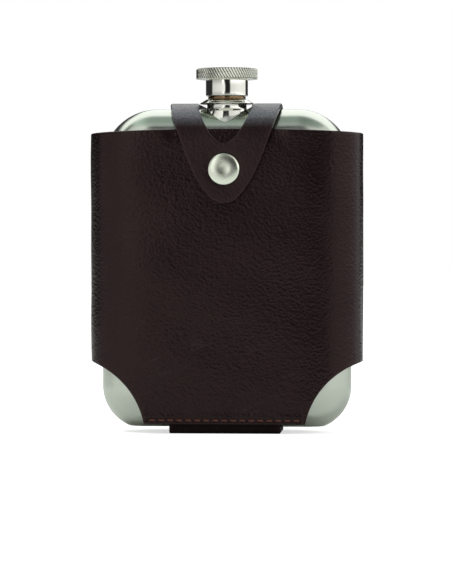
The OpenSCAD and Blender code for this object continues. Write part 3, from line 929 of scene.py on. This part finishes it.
def strap_relief(x, y, z):
    """The snap pulls the leather in a little, and a groove runs under the stitching at the back."""
    sink = np.zeros_like(x)
    if y < -16:
        away = np.hypot(x, z - SNAP_Z)
        sink += 0.35 * np.exp(-((away / 6.4) ** 6)) + 0.12 * np.exp(-((away / 9.5) ** 4))
    if y > 16.5 and 11.0 < z < 111.0:
        sink += 0.22 * np.exp(-(((x - STRAP_STITCH_X) / 0.5) ** 2))
    if y > 16.5 and abs(z - STRAP_STITCH_Z) < 1.4:
        sink += 0.22 * math.exp(-(((z - STRAP_STITCH_Z) / 0.5) ** 2)) * (x < STRAP_STITCH_X)
    return sink


def strap_lines(x, y, z, gap):
    """A creased line just inside the edge, from the edge tool."""
    return 0.32 * np.exp(-(((gap - 1.7) / 0.22) ** 2))


def strap_stations(path, run):
    """Where the strap's rows go: closer at the tip, at the opening's ends, over the top and at the foot."""
    tip = [w * w / TONGUE_K for w in np.arange(0.0, 11.0, 0.7)]
    front = [HOLE_TIP_Z - TIP_Z + h * h / HOLE_K for h in np.arange(0.0, 5.6, 0.6)]
    before = [HOLE_TIP_Z - TIP_Z - d for d in (0.1, 0.3, 0.6)]
    back = (path[:, 0] > 0) & (path[:, 0] < 16.5)
    end_y = [math.sqrt(HOLE_R**2 - h**2) for h in np.arange(0.0, 10.0, 1.0)]
    end_s = [float(np.interp(y, path[back][:, 0], run[back])) for y in end_y]
    after = [end_s[0] + d for d in (0.1, 0.3, 0.6)]
    close = [run[-1] - d for d in (0.0, 0.08, 0.2, 0.36, 0.6, 1.0)]
    low = [run[-1] - 2.6 + d for d in (-1.2, -0.8, -0.5, -0.25, 0, 0.25, 0.5, 0.8, 1.2)]
    even = list(np.arange(10.5, 66.0, 0.75)) + list(np.arange(66.0, run[-1] - 4.0, 1.3))
    every = sorted(tip + front + before + end_s + after + close + low + even)
    out = [every[0]]
    for s in every[1:]:
        if s - out[-1] > 0.045:
            out.append(s)
    out[-1] = run[-1]
    return np.array(out)


path, run = strap_path()
strap = ribbon(
    "strap", path, run, tongue_half, neck_opening, strap_stations(path, run), STRAP_T, 0.45,
    ["strap", "flesh"], strap_relief, strap_lines,
)
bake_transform(strap)
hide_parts("strap_tongue", "strap_back")


def cradle_path():
    """The base strap's outer face: down inside the front edge, under the flask, up inside the rear edge."""
    y1, top, bend = 12.8, 7.0, 1.5
    flat = y1 - bend
    pieces = [(-y1, z, -1.0, 0.0) for z in np.linspace(top, bend, 30)]
    for a in np.radians(np.linspace(0, 90, 10))[1:]:
        c, s = math.cos(a), math.sin(a)
        pieces.append((-flat - bend * c, bend - bend * s, -c, -s))
    pieces += [(y, 0.0, 0.0, -1.0) for y in np.linspace(-flat, flat, 20)[1:]]
    for a in np.radians(np.linspace(90, 0, 10))[1:]:
        c, s = math.cos(a), math.sin(a)
        pieces.append((flat + bend * c, bend - bend * s, c, -s))
    pieces += [(y1, z, 1.0, 0.0) for z in np.linspace(bend, top, 30)[1:]]
    line = np.array(pieces)
    return line, np.concatenate([[0], np.cumsum(np.hypot(np.diff(line[:, 0]), np.diff(line[:, 1])))])


def cradle_half(y, z):
    """The base strap's half width: wider where it is sewn inside the sleeve."""
    return 28.5 if z > SLEEVE_Z0 else STRAP_HALF_W


def no_hole(y, z, normal_y):
    return 0.0


line, line_run = cradle_path()
close = np.array([0.0, 0.1, 0.25, 0.5, 1.0, 1.7, 2.4, 3.0, 3.3, 3.42])
rows = np.concatenate([close, np.linspace(3.5, line_run[-1] - 3.5, 44), line_run[-1] - close[::-1]])
cradle = ribbon(
    "base_strap_cradle", line, line_run, cradle_half, no_hole, rows, STRAP_T, 0.4,
    ["shaded_tab", "flesh"], ends=(True, True),
)
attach(cradle, "root")
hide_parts("base_strap")


# ---------- stitches ----------
def stitches(name, places):
    """Two-ply thread stitches. Each place is a centre, the stitch's direction and the outward direction."""
    bm = bmesh.new()
    layer = bm.verts.layers.float.new("ply")
    around, along = 12, 11
    half = STITCH_PITCH * 0.36
    for n, (centre, forward, out) in enumerate(places):
        centre, forward, out = (np.array(v, float) for v in (centre, forward, out))
        side = np.cross(forward, out)
        tilt = 0.10 * math.sin(2.3 * n)
        forward = forward * math.cos(0.12) + side * math.sin(0.12) * (1 + tilt)
        side = np.cross(forward, out)
        rings = []
        shades = []
        for k in range(along):
            t = k / (along - 1)
            u = (t - 0.5) * 2
            height = 0.30 * (1 - abs(u) ** 3) - 0.42 + 0.02 * math.sin(1.7 * n)
            middle = centre + forward * half * u + out * height
            size = 0.40 * math.sqrt(max(0.0, 1 - abs(u) ** 5)) + 0.02
            ring = []
            shade = []
            for m in range(around):
                a = 2 * math.pi * m / around
                ply = math.cos(2 * (a - 2.4 * math.pi * t * 0.5))
                r = size * (1 + 0.13 * ply)
                ring.append(middle + r * (side * math.cos(a) + out * math.sin(a)))
                # marks the valley between the plies, where waxed_thread paints shade
                shade.append(max(0.0, -ply))
            rings.append(ring)
            shades.append(shade)
        verts = add_grid(bm, np.array(rings), wrap_cols=True, values=np.array(shades), layer=layer)
        for end in (verts[0], verts[-1]):
            bm.faces.new(end)
    return finish_mesh(bm, name, ["thread"], 70.0)


def bottom_row(side):
    """The row along the sleeve's bottom edge, in front where side is -1 and behind where it is 1."""
    places = []
    for i in range(17):
        x = (i - 8) * STITCH_PITCH
        y = sleeve_half_depth(x) - 0.02
        places.append(((x, side * y, SLEEVE_Z0 + BOTTOM_STITCH_RISE), (1.0, 0, 0), (0, side * 1.0, 0)))
    return places


def strap_rows():
    """The strap's two long rows behind, and the short row across its foot."""
    places = []
    out = (0, 1.0, 0)
    y = 16.98
    for side in (-1, 1):
        for i in range(29):
            z = STRAP_STITCH_Z + STITCH_PITCH * (i + 0.5)
            places.append(((side * STRAP_STITCH_X, y, z), (0, 0, 1.0), out))
    for i in range(10):
        places.append((((i - 4.5) * STITCH_PITCH, y, STRAP_STITCH_Z), (1.0, 0, 0), out))
    return places


for name, node, places in (
    ("front_thread", "front_stitches", bottom_row(-1)),
    ("rear_thread", "rear_stitches", bottom_row(1)),
    ("strap_thread", "strap_stitches", strap_rows()),
):
    sewn = stitches(name, places)
    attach(sewn, "root")
    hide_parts(node)


# ---------- snap ----------
def snap_cap():
    """The snap's shallow, dished dome, from a profile of radius and height above the strap."""
    y0 = -(STRAP_IN + STRAP_T)
    profile = [
        (0.0, -0.1),
        (5.5, -0.1, 0.1),
        (5.95, 0.15, 0.3),
        (5.9, 0.60, 0.3),
        (5.45, 0.88, 0.3),
        (4.9, 1.00, 0.5),
        (3.7, 1.13, 0.9),
        (2.4, 1.15, 0.9),
        (1.2, 1.08, 0.6),
        (0.0, 1.05),
    ]
    shape = rounded(profile, 0.2, 4)
    segments = 96
    turn = np.arange(segments) * 2 * math.pi / segments
    rings = []
    for r, h in shape:
        x, z = r * np.cos(turn), SNAP_Z + r * np.sin(turn)
        rings.append(np.column_stack([x, np.full(segments, y0 - h), z]))
    bm = bmesh.new()
    add_grid(bm, np.array(rings), wrap_cols=True)
    bmesh.ops.remove_doubles(bm, verts=bm.verts, dist=1e-5)
    return finish_mesh(bm, "snap_dome", ["snap"], 60.0)


dome = snap_cap()
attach(dome, "tongue")
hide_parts("snap_cap")

# ---------- CAD nodes that stay ----------
KEPT = {
    "cad_steel": ("neck_tube", "neck_thread", "snap_socket", "snap_spring", "snap_stud", "snap_eyelet"),
    "cad_plastic": ("cap_insert", "cap_thread"),
    "cad_rubber": ("cap_liner",),
}
for key, nodes in KEPT.items():
    for node in nodes:
        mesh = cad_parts[node].data
        mesh.materials.clear()
        mesh.materials.append(CAD_MATS[key])

# ---------- studio ----------
TOP_SOURCE = 1.5
DARK_BACK = 0.03
SIDE_WHITE = 1.15
GAP_GREY = 0.02


def build_world():
    """Soft light, bright at the sides and overhead, with a dark gap in front. The camera sees it as white.

    around runs from behind, past the left, the front and the right. over is the angle from the front over
    the top, and rise the height above the horizon. Each is a share of its range.
    """
    world = bpy.data.worlds.new("studio")
    scene.world = world
    world.use_nodes = True
    g = Graph(world.node_tree)
    place = g.add("ShaderNodeTexCoord").outputs["Generated"]
    axes = g.add("ShaderNodeSeparateXYZ", {"Vector": place})
    x, y, z = axes.outputs
    front = g.math("MULTIPLY", y, -1.0)
    azimuth = g.math("ARCTAN2", x, front)
    around = g.math("MULTIPLY_ADD", azimuth, 0.5 / math.pi, 0.5)
    over = g.math("MULTIPLY", g.math("ARCTAN2", z, front), 1 / math.pi)
    rise = g.math("MULTIPLY", g.math("ARCSINE", z), 2 / math.pi)

    def bands(left, middle, start, end, fade, gap):
        """Brightness round the horizon: dark behind, and bright on both sides of a dark gap in front."""
        return g.ramp(around, [
            (0.262, DARK_BACK), (0.280, left), (start - fade - 0.03, left * 1.35), (start - fade, middle),
            (start, gap), (end, gap),
            (end + fade, middle * 0.70), (0.70, middle * 0.88), (0.840, middle * 0.88), (0.868, DARK_BACK),
        ])

    low = bands(0.75, 1.22, 0.490, 0.556, 0.014, GAP_GREY)
    wide = bands(0.42, 1.9, 0.478, 0.550, 0.022, GAP_GREY)
    upper = bands(0.40, SIDE_WHITE, 0.462, 0.560, 0.035, 0.30)
    skirt = bands(0.80, SIDE_WHITE, 0.440, 0.545, 0.008, GAP_GREY)
    off_level = g.math("ABSOLUTE", g.math("SUBTRACT", rise, 0.037))
    low = g.mix(g.ramp(off_level, [(0.025, 0.0), (0.06, 1.0)]), low, wide)
    low = g.mix(g.ramp(rise, [(0.15, 0.0), (0.32, 1.0)]), low, upper)
    low = g.mix(g.ramp(rise, [(0.48, 0.0), (0.53, 1.0)]), low, skirt)
    dim = g.ramp(
        over,
        [
            (0.33, (0.60, 0.63, 0.63)), (0.36, (0.56, 0.60, 0.59)),
            (0.41, (0.37, 0.45, 0.41)), (0.53, (0.35, 0.42, 0.38)),
        ],
    )
    side = g.math("MULTIPLY_ADD", x, 0.5, 0.5)
    uneven = g.ramp(side, [(0.30, 1.8), (0.37, 1.0), (0.475, 1.0), (0.56, 0.55), (0.72, 0.9)])
    dim = g.mix(1.0, dim, uneven, "MULTIPLY")
    source = g.ramp(over, [(0.545, 0.0), (0.60, 1.0), (0.90, 1.0), (0.95, 0.0)], "EASE")
    high = g.mix(source, dim, (TOP_SOURCE, TOP_SOURCE * 1.01, TOP_SOURCE * 1.01))
    behind = g.ramp(over, [(0.52, 0.0), (0.56, 1.0)])
    level_front = g.ramp(rise, [(0.612, 0.0), (0.632, 1.0)], "EASE")
    shift = g.ramp(side, [(0.33, 0.22), (0.45, 0.0), (0.55, 0.0), (0.67, 0.12)])
    level_back = g.ramp(g.math("SUBTRACT", rise, shift), [(0.15, 0.0), (0.23, 1.0)], "EASE")
    level = g.mix(behind, level_front, level_back)
    seen = g.mix(level, low, high)
    path = g.add("ShaderNodeLightPath").outputs["Is Camera Ray"]
    colour = g.mix(path, seen, (1.0, 1.0, 1.0))
    light = g.add("ShaderNodeBackground", {"Color": colour, "Strength": 1.0})
    out = g.add("ShaderNodeOutputWorld")
    g.tree.links.new(light.outputs[0], out.inputs["Surface"])


def build_floor():
    """A plain pale floor. It glows a little towards the camera, so that it is as white as the background."""
    bm = bmesh.new()
    half = 4000.0
    steps = np.linspace(-half, half, 3)
    points = np.array([[(x, y, 0.0) for x in steps] for y in steps])
    add_grid(bm, points)
    mesh = bpy.data.meshes.new("floor")
    bm.to_mesh(mesh)
    bm.free()
    for v in mesh.vertices:
        v.co *= MM
    mat = bpy.data.materials.new("floor_white")
    mat.use_nodes = True
    g = Graph(mat.node_tree)
    seen = g.add("ShaderNodeLightPath").outputs["Is Camera Ray"]
    diffuse = g.add("ShaderNodeBsdfDiffuse", {"Color": (0.75, 0.76, 0.75, 1.0)})
    strength = g.math("MULTIPLY", seen, 0.62)
    glow = g.add("ShaderNodeEmission", {"Color": (1.0, 1.0, 1.0, 1.0), "Strength": strength})
    both = g.add("ShaderNodeAddShader")
    g.tree.links.new(diffuse.outputs[0], both.inputs[0])
    g.tree.links.new(glow.outputs[0], both.inputs[1])
    out = g.add("ShaderNodeOutputMaterial")
    g.tree.links.new(both.outputs[0], out.inputs["Surface"])
    mesh.materials.append(mat)
    floor = bpy.data.objects.new("floor", mesh)
    scene.collection.objects.link(floor)
    floor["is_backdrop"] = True


def soft_light(name, location, target, size, power):
    lamp = bpy.data.lights.new(name, "AREA")
    lamp.shape = "RECTANGLE"
    lamp.size, lamp.size_y = size
    lamp.energy = power
    obj = bpy.data.objects.new(name, lamp)
    scene.collection.objects.link(obj)
    obj.location = location
    obj.rotation_mode = "QUATERNION"
    obj.rotation_quaternion = (Vector(target) - Vector(location)).to_track_quat("-Z", "Y")
    obj.visible_camera = False
    obj.visible_glossy = False


build_world()
build_floor()
soft_light("top_light", (-0.35, -0.25, 0.95), (0.0, 0.0, 0.06), (0.5, 0.4), 4.0)

low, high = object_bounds()
